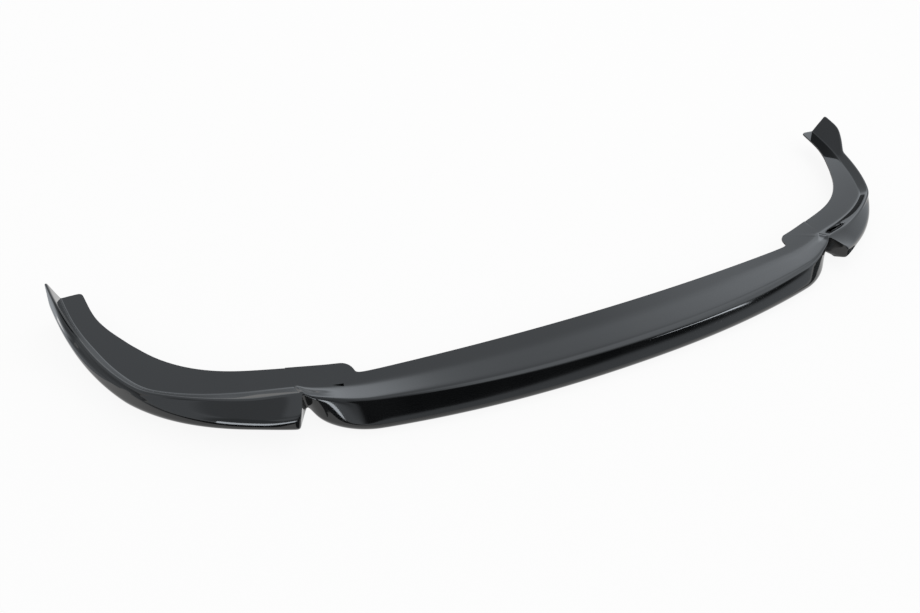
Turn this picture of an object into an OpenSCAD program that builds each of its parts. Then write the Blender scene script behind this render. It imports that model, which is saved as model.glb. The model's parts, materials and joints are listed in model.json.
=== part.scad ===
// Front splitter lip for a car: one moulded sheet with a bull-nosed centre and two swept wings.
// X runs to the car's left-hand headlamp side, Y to the rear, Z up. The lip stands on its
// underside with the origin in the middle below it. Plan places are counted from the foremost
// point of the nose, and heights from the flat mounting flange.

/* [Overall] */
// Width across the two end fins
overall_w = 1708; // [1600:4:1800]
// Depth from the nose to the back of the wings
overall_d = 430; // [410:5:450]
// Thickness of the moulded sheet
wall = 3; // [2:0.5:4]

/* [Wings] */
// Width of the flange beside the fin
flange_side = 31; // [24:1:40]
// Width of the flange at the notch
flange_front = 40; // [30:1:50]
// Width from the flange to the outer edge beside the fin
blade_side = 19; // [16:0.5:24]
// Width from the flange to the outer edge at the notch
blade_front = 72; // [60:1:80]
// Width of the narrow bead that edges the flange
bead_w = 4; // [3:0.5:6]
// Step from the top of the bead down to the blade, beside the fin
bead_step = 5.5; // [2:0.5:7]
// Height of the bead above the flange at the wheel arch
bead_side_h = 11; // [8:0.5:14]
// Height of the crest above the flange at the notch
bead_front_h = 12; // [9:0.5:15]

/* [Fins] */
// Height of the fin above the flange
fin_h = 41; // [30:1:50]
// Length of the fin's level top
fin_top = 49; // [30:1:60]
// Length of the fin's sloping front edge
fin_slope = 53; // [40:1:70]
// Thickness of the fin at its top
fin_t = 3.6; // [3:0.2:5]

/* [Centre] */
// Depth of the centre from nose to rear edge, at the middle
centre_d = 109; // [95:1:120]
// Height of the underside below the flange
centre_h = 42; // [36:1:50]
// Height of the crest above the flange, at the middle
crest_h = 3.5; // [2:0.5:6]
// How far the crest lies behind the nose
crest_back = 23; // [18:1:30]
// Radius of the crest
crest_r = 17; // [10:1:22]
// Radius of the bull nose
nose_r = 12; // [8:1:16]

/* [Notches] */
// Distance from the middle to the end of the centre's crest
notch_in = 560; // [555:1:561]
// Distance from the middle to the wing's end wall
notch_out = 565; // [564:1:571]
// Radius of the upright edge between blade and end wall
notch_r = 6; // [4:1:8]

/* [Hidden] */
half_w = overall_w / 2;
// Straight stations across half of the centre, and along the two halves of the wing
centre_steps = 9;
bow_steps = 10;
corner_steps = 13;
front_steps = 11;
// Where the centre's nose begins to curl back, how far it has fallen back there, and how
// strongly it falls
bow_x = 455;
bow_back = 38;
bow_power = 2.25;
// How far the centre's rear edge comes back at the same place, and the root line at the notch
rear_back = 17;
root_notch = overall_d - 294;
// How far the back of the notch lies ahead of the root line
notch_back = 33;
// Lower corner of the bull nose ahead of its foremost point, and the width turned under
nose_over = 12.8;
turn_under = 24;
// Part of the top surface, from the rear edge to the crest, where its upward curve has its corner
ramp_foot = 0.36;
// Tab where the wing's flange overlaps the centre's rear edge: end, edge and corner radii
tab_x = 469;
tab_y = overall_d - 278;
tab_foot = overall_d - 300.5;
tab_r = 21;
tab_foot_r = 3;
// Rear edge of the flange at the notch
flange_notch = root_notch + flange_front;
// How far the centre's end leans inwards at its underside, and how far the wing's outer edge
// rises to the notch
end_lean = 15;
notch_lift = 12.5;
// Slant of the wing's end wall
wall_slant = 0.4;
// Rounded corner at the back of the flange and fin
back_r = 7;
fin_back_r = 3;
// Wedge-shaped pinches beside the notches, right and left, and their depth
pinch_right = [[633, 138.5], [578.5, 132.5], [583.5, 122.5], [592, 129.5]];
pinch_left = [[-511, 118.5], [-493.5, 115.5], [-495.5, 109.5]];
pinch_deep = 7;

function clamp(v) = min(1, max(0, v));
function mix(a, b, s) = a + (b - a) * s;
function unit(v) = v / norm(v);
function part_of(t, a, b) = clamp((t - a) / (b - a));
function ease(s) = s * s * (3 - 2 * s);
// Fast at first, then slower
function spread(s, k) = 1 - pow(1 - s, k);
// Value along the wing from its rear end, over the corner, to the notch
function three(t, rear, corner, notch) =
    t < 0.5 ? mix(rear, corner, ease(2 * t)) : mix(corner, notch, ease(2 * t - 1));

// Point and direction at fraction t of a cubic curve
function bezier(p, t) =
    let (u = 1 - t)
    u * u * u * p[0] + 3 * u * u * t * p[1] + 3 * u * t * t * p[2] + t * t * t * p[3];
function bezier_way(p, t) =
    let (u = 1 - t)
    unit(u * u * (p[1] - p[0]) + 2 * u * t * (p[2] - p[1]) + t * t * (p[3] - p[2]));

// Corner b between a and c rounded to radius r by n pieces of a true arc, where room is the part
// of the edge to c that the arc may take
function rounded(a, b, c, r, n, room = 0.47) =
    let (
        back = unit(a - b),
        ahead = unit(c - b),
        half_turn = acos(min(1, max(-1, -back * ahead))) / 2,
        reach = min(max(r * tan(half_turn), 0.4), 0.47 * norm(a - b), room * norm(c - b)),
        p = b + back * reach,
        q = b + ahead * reach,
        w = cos(half_turn)
    )
    [for (k = [0:n]) let (s = k / n, u = 1 - s)
        (u * u * p + 2 * s * u * w * b + s * s * q) / (u * u + 2 * s * u * w + s * s)];

// Corners [distance, height, radius] moved inwards by w, with the radii to suit
function flat(c) = [c[0], c[1]];
function inward(a, b) = let (e = unit(flat(b) - flat(a))) [e[1], -e[0]];
function inset(c, w) = [for (k = [0:len(c) - 1])
    let (
        n1 = inward(c[max(0, k - 1)], c[max(1, k)]),
        n2 = inward(c[min(k, len(c) - 2)], c[min(k + 1, len(c) - 1)]),
        shift = w * (n1 + n2) / (1 + n1 * n2),
        bends_in = n1[0] * n2[1] - n1[1] * n2[0] < 0
    )
    [c[k][0] + shift[0], c[k][1] + shift[1], max(0.5, c[k][2] + (bends_in ? -w : w))]];

// Section through the wing: [distance from the root, height, radius] of each corner, from the
// flange out over the bead and the blade, round the nose and back underneath
wing_path = [[half_w, overall_d], [half_w - 9, overall_d - 165],
             [half_w - 54, overall_d - 307], [notch_out + 1, overall_d - 367]];
// Length of the curve for each unit of t at its rear end and at the notch
rear_run = 3 * norm(wing_path[1] - wing_path[0]);
notch_run = 3 * norm(wing_path[3] - wing_path[2]);
fin_a = fin_top / rear_run;
fin_b = (fin_top + fin_slope) / rear_run;
notch_turn = 14;

function blade_w(t) = blade_side + 5 * ease(part_of(t, 0.1, 0.3))
    + (blade_front - blade_side - 5) * spread(part_of(t, 0.53, 1), 1.3);
function edge_w(t) = blade_side + flange_side + 20 * ease(part_of(t, 0.1, 0.37))
    + (blade_front + flange_front - blade_side - flange_side - 20) * part_of(t, 0.33, 1);
function bead_in(t) = 12.5 + 29 * spread(part_of(t, 0.54, 0.95), 1.8) + 9 * ease(part_of(t, 0.86, 1));
function bead_h(t) = mix(bead_side_h, bead_front_h, ease(t));
function fin_part(t) = 1 - part_of(t, fin_a, fin_b);

function wing_corners(t, skin, trim) =
    let (
        w = blade_w(t),
        f = skin ? fin_part(t) : 0,
        top = mix(bead_h(t), fin_h, f) - trim * fin_back_r / back_r * f,
        ridge = skin ? mix(w - bead_in(t), w - fin_t, f) : w - bead_in(t),
        step = bead_step * (1 - ease(part_of(t, 0.45, 0.82))),
        side = three(t, 1, 0, 0) + notch_lift * pow(part_of(t, 0.85, 1), 3.5),
        low = t < 0.5 ? mix(-21, -30, pow(2 * t, 3)) : mix(-30, -12, spread(2 * t - 1, 2)),
        lean = three(t, 0, 5, 6),
        under = three(t, 13, 24, 18),
        foot = three(t, -24, -36, -23),
        outer = mix(ridge + bead_w, w, f),
        base = mix(top - step, mix(side, top, 0.5), f)
    )
    concat(
        [[-20, 0, 0], [1, 0, three(t, 3, 6, 12)]],
        skin ? [[ridge, top, 1.5], [outer, top, 1], [mix(outer + 1 + step / 4, w, f), base, 1.5]]
             : [[ridge + 1, top - step, 2]],
        [[w - lean, side, three(t, 15, 20, 10)], [w, low, three(t, 15, 20, 9)], [w - under, foot, 0]]
    );

// Section through the centre, at distance x from the middle
function rear_y(x) = centre_d + rear_back * pow(x / bow_x, 2);
function nose_y(x) = bow_back * pow(x / bow_x, bow_power);
function crest_z(x) = mix(crest_h, bead_front_h, pow(x / notch_out, 3));
function centre_corners(depth, z, end, skin) =
    let (
        crest = depth - mix(5, crest_back, pow(end, 4)),
        low = mix(-20, -centre_h, end),
        lead = mix(0, nose_over, end),
        toe = mix(1, ramp_foot * crest, end),
        brow = crest - mix(6.5, 0.62 * (crest - toe), end),
        brow_z = z * mix(1, (brow - toe) / (crest - toe), end)
    )
    concat(
        [[-max(toe, 20), 0, 0],
         [toe, 0, mix(12, 0.94 * toe / tan(atan(z / (crest - toe)) / 2), end)]],
        skin ? [for (s = [0, 0.18, 0.36]) [mix(brow, crest, s), mix(brow_z, z, s), 3]]
             : [[mix(brow, crest, 0.2), mix(brow_z, z, 0.2), 3]],
        [[crest, z, mix(5, crest_r, end)], [depth + lead, low, mix(4, nose_r, end)],
         [depth - mix(9, turn_under, end), low, 0]]
    );

// Points of one section. A station is [edge of the flange, root, outward direction, corners,
// slant of the wing's end wall, lean of the centre's end].
skin_steps = [4, 1, 1, 1, 5, 6];
inside_steps = [3, 2, 3, 4];
function station_points(s, w) =
    let (
        c = w > 0 ? inset(s[3], w) : s[3],
        steps = w > 0 ? inside_steps : skin_steps,
        last = len(c) - 1,
        turns = [for (k = [1:last - 1])
            each rounded(flat(c[k - 1]), flat(c[k]), flat(c[k + 1]), c[k][2], steps[k - 1],
                         k == last - 1 ? 0.9 : 0.47)],
        line = concat(turns, [flat(c[last])])
    )
    concat([[s[0][0], s[0][1], -w]],
           [for (p = line) [
               s[1][0] + s[2][0] * p[0] + s[4] * max(0, p[0] - notch_back)
                   + s[5] * min(0, p[1] / centre_h),
               s[1][1] + s[2][1] * p[0],
               p[1]
           ]]);

function wing_station(t, pull, skin, trim = 0) =
    let (
        at = bezier(wing_path, t),
        way = bezier_way(wing_path, t),
        turn = notch_turn * pow(part_of(t, 0.7, 1), 2),
        in = [way[1] * cos(turn) - way[0] * sin(turn), -way[0] * cos(turn) - way[1] * sin(turn)],
        c = wing_corners(t, skin, trim),
        n = len(c),
        pulled = [for (k = [0:n - 1]) k < n - 3 ? c[k] : [c[k][0] - pull, c[k][1], c[k][2]]]
    )
    [at + in * (edge_w(t) - trim), at + in * blade_w(t), -in, pulled,
     wall_slant * ease(part_of(t, 0.88, 1)), 0];

function centre_station(x, y, edge, end, skin, lean) =
    let (root = mix(rear_y(min(x, bow_x)), root_notch, part_of(x, bow_x, notch_out)))
    [edge, [x, root], [0, -1], centre_corners(root - y, crest_z(x), end, skin), 0, lean];

// Stations from the middle out to the fin
function bow_path(w) =
    [[bow_x, bow_back + w / 2], [508 - w, 47 + w], [notch_in - 17 - w, 75 + w],
     [notch_in - w, root_notch - notch_back]];
tab_line = concat(
    rounded([bow_x, rear_y(bow_x)], [tab_x - 2, tab_foot], [tab_x, tab_y], tab_foot_r, 1),
    rounded([tab_x - 4, 2 * tab_foot - tab_y], [tab_x, tab_y], [notch_out, flange_notch], tab_r, 5),
    [for (k = [1:5]) mix([tab_x + 18, tab_y + 3.4], [notch_out, flange_notch], k / 5)]);
function stations(w) =
    let (skin = w == 0)
    concat(
        [for (k = [0:centre_steps]) let (x = bow_x * k / centre_steps)
            centre_station(x, nose_y(x), [x, rear_y(x)], 1, skin, 0)],
        [for (k = [1:bow_steps]) let (u = k / bow_steps, p = bezier(bow_path(w), u))
            centre_station(p[0], p[1], tab_line[k - 1], sqrt(1 - pow(u, 4)), skin, end_lean * u)],
        [for (k = [1:3]) let (x = mix(notch_in + 1 - w, notch_out - 1 + w, k / 3))
            centre_station(x, root_notch - notch_back, tab_line[bow_steps + k - 1], 0, skin, end_lean)],
        [for (a = [0:30:90]) let (t = 1 - (notch_r * (1 - cos(a)) + w) / notch_run)
            wing_station(t, notch_r * (1 - sin(a)), skin)],
        [for (k = [1:front_steps]) wing_station(mix(0.98, 0.5, k / front_steps), 0, skin)],
        [for (k = [1:corner_steps]) wing_station(mix(0.5, fin_b, k / corner_steps), 0, skin)],
        [for (k = [1:3]) wing_station(mix(fin_b, fin_a, k / 3), 0, skin)],
        [wing_station(fin_a / 2, 0, skin)],
        [for (a = [90:-30:0])
            wing_station(back_r * (1 - cos(a)) / rear_run, 0, skin, back_r * (1 - sin(a)))]);

// Whole row of sections, from the left fin to the right one
function mirrored(p) = [-p[0], p[1], p[2]];
function skin_rows(w) =
    let (half = [for (s = stations(w)) station_points(s, w)])
    concat([for (k = [len(half) - 1:-1:1]) [for (p = half[k]) mirrored(p)]], half);

// Body between two rows of sections that run alike
module between(outer, inner) {
    rows = len(outer);
    m = len(outer[0]);
    n = len(inner[0]);
    start = rows * m;
    points = concat([for (r = outer) each r], [for (r = inner) each r]);
    function o(i, j) = i * m + j;
    function v(i, j) = start + i * n + j;
    function quad(a, b, c, d) = [[a, b, c], [a, c, d]];
    faces = concat(
        [for (i = [0:rows - 2], j = [0:m - 2])
            each quad(o(i, j), o(i + 1, j), o(i + 1, j + 1), o(i, j + 1))],
        [for (i = [0:rows - 2], j = [0:n - 2])
            each quad(v(i, j), v(i, j + 1), v(i + 1, j + 1), v(i + 1, j))],
        [for (i = [0:rows - 2]) each quad(o(i, 0), v(i, 0), v(i + 1, 0), o(i + 1, 0))],
        [for (i = [0:rows - 2])
            each quad(o(i, m - 1), o(i + 1, m - 1), v(i + 1, n - 1), v(i, n - 1))],
        [concat([for (j = [0:m - 1]) o(0, j)], [for (j = [n - 1:-1:0]) v(0, j)])],
        [concat([for (j = [0:n - 1]) v(rows - 1, j)], [for (j = [m - 1:-1:0]) o(rows - 1, j)])]);
    polyhedron(points, faces, convexity = 8);
}

// Sheet between the outer skin and the same skin moved inwards by the wall
module sheet() {
    between(skin_rows(0), skin_rows(wall));
}

// Space from the middle of the sheet down to the underside, between the flange and the crest
module below_ramp() {
    top = [for (r = skin_rows(0)) [for (j = [0:7]) r[j] - [0, 0, wall / 2]]];
    between(top, [for (r = top) [for (p = r) [p[0], p[1], -centre_h]]]);
}

// Pinch in the sheet: a narrow pocket with a wall of the sheet's own thickness round it
module pinch(outline) {
    translate([0, 0, -pinch_deep]) linear_extrude(pinch_deep + bead_front_h) polygon(outline);
}
module pinch_wall(outline) {
    intersection() {
        below_ramp();
        translate([0, 0, -pinch_deep - wall])
            linear_extrude(pinch_deep + wall + bead_front_h) offset(wall) polygon(outline);
    }
}

module splitter_lip() {
    color([0.06, 0.06, 0.065])
    translate([0, -overall_d / 2, centre_h])
    resize([overall_w, overall_d, 0])
    difference() {
        union() {
            sheet();
            pinch_wall(pinch_right);
            pinch_wall(pinch_left);
        }
        pinch(pinch_right);
        pinch(pinch_left);
    }
}

splitter_lip();
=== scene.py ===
# Front splitter lip for a car, moulded in gloss black, on a white studio floor
import json
import math

import bpy
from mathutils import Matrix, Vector

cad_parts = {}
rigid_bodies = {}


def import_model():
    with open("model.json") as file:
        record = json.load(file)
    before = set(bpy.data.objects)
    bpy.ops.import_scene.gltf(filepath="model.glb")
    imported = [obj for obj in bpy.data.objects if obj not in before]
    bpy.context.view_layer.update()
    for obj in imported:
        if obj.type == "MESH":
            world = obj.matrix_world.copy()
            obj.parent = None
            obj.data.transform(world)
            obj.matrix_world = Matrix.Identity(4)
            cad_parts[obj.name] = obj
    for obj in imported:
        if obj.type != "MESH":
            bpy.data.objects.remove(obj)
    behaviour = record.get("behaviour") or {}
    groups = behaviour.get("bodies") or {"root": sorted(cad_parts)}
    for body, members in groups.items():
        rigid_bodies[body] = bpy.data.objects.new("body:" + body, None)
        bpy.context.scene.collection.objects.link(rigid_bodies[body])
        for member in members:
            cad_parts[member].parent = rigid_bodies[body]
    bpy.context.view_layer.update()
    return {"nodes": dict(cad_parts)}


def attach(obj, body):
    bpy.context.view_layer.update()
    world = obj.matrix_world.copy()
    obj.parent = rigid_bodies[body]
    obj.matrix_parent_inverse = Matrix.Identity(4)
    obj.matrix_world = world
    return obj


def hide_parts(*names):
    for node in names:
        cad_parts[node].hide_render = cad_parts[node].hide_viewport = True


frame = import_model()
print("frame loaded")


def toLinear(hexColour):
    channels = [int(hexColour[i:i + 2], 16) / 255 for i in (1, 3, 5)]
    return [c / 12.92 if c <= 0.04045 else ((c + 0.055) / 1.055) ** 2.4 for c in channels] + [1]


def addNode(tree, kind, settings=None, links=None):
    node = tree.nodes.new(kind)
    for name, value in (settings or {}).items():
        if name in node.inputs:
            node.inputs[name].default_value = value
        else:
            setattr(node, name, value)
    for name, (source, output) in (links or {}).items():
        tree.links.new(source.outputs[output], node.inputs[name])
    return node


def newMaterial(name):
    material = bpy.data.materials.new(name)
    material.use_nodes = True
    material.node_tree.nodes.clear()
    return material, material.node_tree


def pickOnly(obj):
    if bpy.context.object and bpy.context.object.mode != "OBJECT":
        bpy.ops.object.mode_set(mode="OBJECT")
    bpy.ops.object.select_all(action="DESELECT")
    obj.select_set(True)
    bpy.context.view_layer.objects.active = obj


# Camera, at the height and side from which the lip was photographed
cameraSetup = {
    "place": (-0.9042, -0.8850, 1.1107),
    "turn": (44.92, -8.935, -28.364),  # degrees
    "lens": 35.217,  # mm, on a sensor 36 mm wide
}


def addCamera(setup):
    turn = [math.radians(angle) for angle in setup["turn"]]
    bpy.ops.object.camera_add(location=setup["place"], rotation=turn)
    camera = bpy.context.object
    camera.name = "studioCamera"
    camera.data.lens = setup["lens"]
    camera.data.sensor_width = 36
    camera.data.sensor_fit = "HORIZONTAL"
    bpy.context.scene.camera = camera


addCamera(cameraSetup)
print("camera placed")


# Gloss-black ABS, moulded: a smooth hard skin, so clear reflections over a near-black body, with
# the faint waviness that a vacuum-formed sheet has
absSetup = {
    "dark": "#0d0e0f",
    "light": "#121314",
    "ior": 1.54,
    "roughness": 0.06,
    "roughnessSpread": 0.012,
    "peelSize": 7,  # mm across one wave of the surface
    "peelDepth": 0.004,  # mm
    "tintSize": 120,  # mm across one patch of slightly other tone
}


def makeGlossBlackAbs(setup):
    material, tree = newMaterial("glossBlackAbsMoulded")
    place = addNode(tree, "ShaderNodeTexCoord")
    patches = addNode(tree, "ShaderNodeTexNoise", {"Scale": 1000 / setup["tintSize"], "Detail": 2},
                      {"Vector": (place, "Object")})
    ramp = addNode(tree, "ShaderNodeValToRGB", {}, {"Fac": (patches, "Fac")})
    ramp.color_ramp.elements[0].position = 0.35
    ramp.color_ramp.elements[0].color = toLinear(setup["dark"])
    ramp.color_ramp.elements[1].position = 0.65
    ramp.color_ramp.elements[1].color = toLinear(setup["light"])
    sheen = addNode(tree, "ShaderNodeMapRange", {
        "To Min": setup["roughness"] - setup["roughnessSpread"],
        "To Max": setup["roughness"] + setup["roughnessSpread"],
    }, {"Value": (patches, "Fac")})
    peel = addNode(tree, "ShaderNodeTexNoise", {"Scale": 1000 / setup["peelSize"], "Detail": 1},
                   {"Vector": (place, "Object")})
    bump = addNode(tree, "ShaderNodeBump", {"Strength": 1, "Distance": setup["peelDepth"] / 1000},
                   {"Height": (peel, "Fac")})
    skin = addNode(tree, "ShaderNodeBsdfPrincipled", {"IOR": setup["ior"]}, {
        "Base Color": (ramp, "Color"), "Roughness": (sheen, "Result"), "Normal": (bump, "Normal"),
    })
    addNode(tree, "ShaderNodeOutputMaterial", {}, {"Surface": (skin, "BSDF")})
    return material


# The lip itself: the moulded sheet with its curves drawn finer
lipSetup = {
    "node": "splitter_lip",
    "mergeDistance": 0.00001,  # m
    "quadAngle": 50,  # degrees between two triangles that may be one face
    "cutAngle": 62,  # degrees above which an edge of the sheet stays crisp
    "levels": 2,
    "smoothAngle": 45,  # degrees up to which two faces shade as one
}


def makeLip(setup, material):
    pickOnly(frame["nodes"][setup["node"]])
    bpy.ops.object.duplicate()
    lip = bpy.context.object
    lip.name = "lipSheet"
    bpy.ops.object.parent_clear(type="CLEAR_KEEP_TRANSFORM")
    bpy.ops.mesh.customdata_custom_splitnormals_clear()
    bpy.ops.object.mode_set(mode="EDIT")
    bpy.ops.mesh.select_mode(type="EDGE")
    bpy.ops.mesh.select_all(action="SELECT")
    bpy.ops.mesh.remove_doubles(threshold=setup["mergeDistance"])
    bpy.ops.mesh.tris_convert_to_quads(face_threshold=math.radians(setup["quadAngle"]),
                                       shape_threshold=math.radians(180))
    bpy.ops.mesh.select_all(action="DESELECT")
    bpy.ops.mesh.edges_select_sharp(sharpness=math.radians(setup["cutAngle"]))
    bpy.ops.transform.edge_crease(value=1)
    bpy.ops.object.mode_set(mode="OBJECT")
    finer = lip.modifiers.new("finer", "SUBSURF")
    finer.levels = setup["levels"]
    finer.render_levels = setup["levels"]
    bpy.ops.object.modifier_apply(modifier="finer")
    bpy.ops.object.shade_smooth_by_angle(angle=math.radians(setup["smoothAngle"]))
    lip.data.materials.clear()
    lip.data.materials.append(material)
    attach(lip, "root")
    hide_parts(setup["node"])
    return lip


lip = makeLip(lipSetup, makeGlossBlackAbs(absSetup))
print("lip made:", len(lip.data.polygons), "faces")


# White paper floor. It is nearly as bright as the background, and the lip's shadow falls on it
floorSetup = {
    "size": 30,
    "colour": "#f4f4f4",
    "selfWhite": 0.9,  # share of plain white that the camera sees
    "grainScale": 900,
    "grainStrength": 0.05,
    "grainDepth": 0.0001,
}


def addFloor(setup):
    material, tree = newMaterial("whitePaperFloor")
    place = addNode(tree, "ShaderNodeTexCoord")
    grain = addNode(tree, "ShaderNodeTexNoise", {"Scale": setup["grainScale"]},
                    {"Vector": (place, "Object")})
    bump = addNode(tree, "ShaderNodeBump", {
        "Strength": setup["grainStrength"],
        "Distance": setup["grainDepth"],
    }, {"Height": (grain, "Fac")})
    paper = addNode(tree, "ShaderNodeBsdfDiffuse", {"Color": toLinear(setup["colour"])},
                    {"Normal": (bump, "Normal")})
    white = addNode(tree, "ShaderNodeEmission", {"Color": (1, 1, 1, 1), "Strength": 1})
    rays = addNode(tree, "ShaderNodeLightPath")
    seen = addNode(tree, "ShaderNodeMath", {"operation": "MULTIPLY_ADD", "use_clamp": True},
                   {0: (rays, "Is Camera Ray"), 2: (rays, "Is Glossy Ray")})
    seen.inputs[1].default_value = setup["selfWhite"]
    both = addNode(tree, "ShaderNodeMixShader", {}, {"Fac": (seen, 0), 1: (paper, 0), 2: (white, 0)})
    addNode(tree, "ShaderNodeOutputMaterial", {}, {"Surface": (both, 0)})
    bpy.ops.mesh.primitive_plane_add(size=setup["size"])
    floor = bpy.context.object
    floor.name = "studioFloor"
    floor.data.materials.append(material)


# Dark cards and one bright strip around the lip, which only its reflections show
cardSetup = {
    "frontFloorCard": {"middle": (-0.94, -0.68, 0.001), "size": (0.9, 1), "turn": (0, 0, 150),
                       "glow": 0.02},
    "leftFloorCard": {"middle": (-1.36, 0.4, 0.001), "size": (1, 1.2), "turn": (0, 0, 0), "glow": 0.5},
    "rightFloorCard": {"middle": (0.95, -0.32, 0.001), "size": (0.7, 0.22), "turn": (0, 0, -17),
                       "glow": 0.1},
    "notchCard": {"middle": (-0.665, -0.33, 0.15), "size": (0.3, 0.3), "turn": (90, 0, 62),
                  "glow": 0.06},
    "notchFlap": {"middle": (-0.584, -0.188, 0.15), "size": (0.044, 0.3), "turn": (90, 0, 55),
                  "glow": 0.06},
    "wingStrip": {"middle": (-0.86, -0.5, 0.1), "size": (0.25, 0.17), "turn": (90, 0, -28), "glow": 8},
}


def addCards(setup, tint):
    for name, card in setup.items():
        material, tree = newMaterial(name + "Cloth")
        cloth = addNode(tree, "ShaderNodeEmission",
                        {"Color": toLinear(tint), "Strength": card["glow"]})
        addNode(tree, "ShaderNodeOutputMaterial", {}, {"Surface": (cloth, 0)})
        turn = [math.radians(angle) for angle in card["turn"]]
        bpy.ops.mesh.primitive_plane_add(size=1, location=card["middle"], rotation=turn)
        flag = bpy.context.object
        flag.name = name
        flag.scale = (card["size"][0], card["size"][1], 1)
        flag.data.materials.append(material)
        flag.visible_camera = False
        flag.visible_diffuse = False
        flag.visible_shadow = False


# White studio. Its reflections show a large soft box to the right, a pale panel behind and black
# cloth in front. Azimuth is counted from the rear over the right side, elevation from the floor,
# each as (middle, half width, softness) in degrees. With a slope or a bend, the zone's edges fall
# towards its sides
surroundSetup = {
    "ceiling": {"azimuth": (0, 200, 1), "elevation": (90, 22, 5), "glow": 0.67},
    "leftWall": {"azimuth": (-60, 32, 8), "elevation": (0, 34, 6), "glow": 0.75},
    "backPanel": {"azimuth": (37, 22, 4), "elevation": (25, 13, 6), "glow": 1.75},
    "lowPanel": {"azimuth": (27, 7, 4), "elevation": (22, 11, 5), "glow": 2.6},
    "frontWall": {"azimuth": (150, 44, 6), "elevation": (0, 20, 3), "glow": 0.75},
    "frontCloth": {"azimuth": (157, 38, 4), "elevation": (45, 28.4, 0.5), "bend": 0.52, "glow": 0.01},
    "topCloth": {"azimuth": (142, 30, 8), "elevation": (72, 6, 3), "glow": 0.02},
    "softBox": {"azimuth": (94, 34, 14), "elevation": (54, 15, 5), "glow": 1.85},
    "sideBox": {"azimuth": (111, 17, 9), "elevation": (28, 14, 6), "glow": 1.6},
    "greyCloth": {"azimuth": (-150, 15, 5), "elevation": (42, 33, 4), "glow": 0.47},
    "creaseStrip": {"azimuth": (133, 4.5, 1), "elevation": (18, 1.7, 0.5), "slope": -1.2, "glow": 10},
}


# One inside the half width, nought outside it, with a soft edge
def addEdge(tree, angle, half, soft):
    apart = addNode(tree, "ShaderNodeMath", {"operation": "ABSOLUTE"}, {0: (angle, 0)})
    return addNode(tree, "ShaderNodeMapRange", {
        "interpolation_type": "SMOOTHSTEP", "From Min": half - soft, "From Max": half + soft,
        "To Min": 1, "To Max": 0,
    }, {"Value": (apart, 0)})


def addSurround(tree, setup, plain):
    place = addNode(tree, "ShaderNodeTexCoord")
    height = addNode(tree, "ShaderNodeSeparateXYZ", {}, {0: (place, "Generated")})
    rise = addNode(tree, "ShaderNodeMath", {"operation": "ARCSINE"}, {0: (height, "Z")})
    glow = addNode(tree, "ShaderNodeValue")
    glow.outputs[0].default_value = plain
    for zone in setup.values():
        middle, half, soft = [math.radians(angle) for angle in zone["azimuth"]]
        turned = addNode(tree, "ShaderNodeVectorRotate", {"rotation_type": "Z_AXIS", "Angle": middle},
                         {"Vector": (place, "Generated")})
        parts = addNode(tree, "ShaderNodeSeparateXYZ", {}, {0: (turned, 0)})
        side = addNode(tree, "ShaderNodeMath", {"operation": "ARCTAN2"}, {0: (parts, 0), 1: (parts, 1)})
        across = addEdge(tree, side, half, soft)
        bent = addNode(tree, "ShaderNodeMath", {"operation": "MULTIPLY_ADD"}, {0: (side, 0)})
        bent.inputs[1].default_value = zone.get("bend", 0)
        bent.inputs[2].default_value = zone.get("slope", 0)
        lifted = addNode(tree, "ShaderNodeMath", {"operation": "MULTIPLY_ADD"},
                         {0: (bent, 0), 1: (side, 0), 2: (rise, 0)})
        middle, half, soft = [math.radians(angle) for angle in zone["elevation"]]
        above = addNode(tree, "ShaderNodeMath", {"operation": "SUBTRACT"}, {0: (lifted, 0)})
        above.inputs[1].default_value = middle
        upright = addEdge(tree, above, half, soft)
        share = addNode(tree, "ShaderNodeMath", {"operation": "MULTIPLY"},
                        {0: (across, 0), 1: (upright, 0)})
        glow = addNode(tree, "ShaderNodeMix", {"B": zone["glow"]}, {"Factor": (share, 0), "A": (glow, 0)})
    return glow


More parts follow.
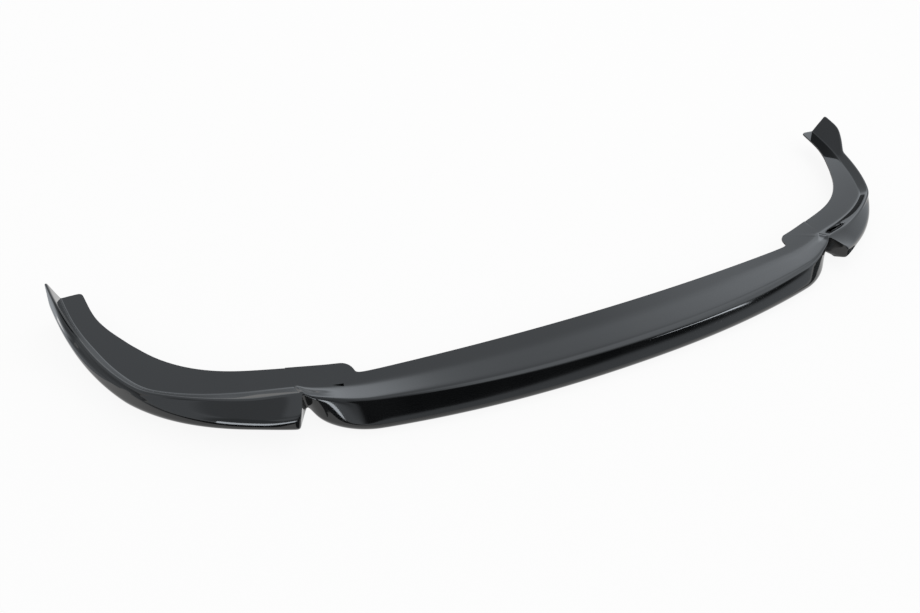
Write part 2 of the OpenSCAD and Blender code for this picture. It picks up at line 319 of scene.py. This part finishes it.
# The white room: plain fill for the lip's own colour, background for the camera, walls for what
# the surround above leaves bare
worldSetup = {"fill": 0.8, "background": 1, "walls": 1.05, "tint": "#f1f8ff"}


def addWorld(setup, surround):
    world = bpy.data.worlds.new("whiteStudio")
    bpy.context.scene.world = world
    world.use_nodes = True
    tree = world.node_tree
    tree.nodes.clear()
    rays = addNode(tree, "ShaderNodeLightPath")
    shown = addNode(tree, "ShaderNodeMath", {"operation": "ADD", "use_clamp": True},
                    {0: (rays, "Is Camera Ray"), 1: (rays, "Is Transmission Ray")})
    fill = addNode(tree, "ShaderNodeBackground", {"Color": (1, 1, 1, 1), "Strength": setup["fill"]})
    white = addNode(tree, "ShaderNodeBackground",
                    {"Color": (1, 1, 1, 1), "Strength": setup["background"]})
    room = addNode(tree, "ShaderNodeBackground", {"Color": toLinear(setup["tint"])},
                   {"Strength": (addSurround(tree, surround, setup["walls"]), 0)})
    seen = addNode(tree, "ShaderNodeMixShader", {}, {"Fac": (shown, 0), 1: (fill, 0), 2: (white, 0)})
    both = addNode(tree, "ShaderNodeMixShader", {},
                   {"Fac": (rays, "Is Glossy Ray"), 1: (seen, 0), 2: (room, 0)})
    addNode(tree, "ShaderNodeOutputWorld", {}, {"Surface": (both, 0)})


# One soft panel behind and to the right, high up, which casts the shadow on the paper
lampSetup = {
    "overheadPanel": {"place": (0.9, 1.2, 2.6), "aim": (0, 0, 0), "size": (2.4, 1.6), "power": 12},
}


def addLamps(setup):
    for name, lamp in setup.items():
        way = Vector(lamp["aim"]) - Vector(lamp["place"])
        turn = way.to_track_quat("-Z", "Y").to_euler()
        bpy.ops.object.light_add(type="AREA", location=lamp["place"], rotation=turn)
        light = bpy.context.object
        light.name = name
        light.data.shape = "RECTANGLE"
        light.data.size = lamp["size"][0]
        light.data.size_y = lamp["size"][1]
        light.data.energy = lamp["power"]
        light.visible_camera = False
        light.visible_glossy = False


addFloor(floorSetup)
addCards(cardSetup, worldSetup["tint"])
addWorld(worldSetup, surroundSetup)
addLamps(lampSetup)
bpy.context.scene.view_settings.view_transform = "Standard"
print("studio lit")
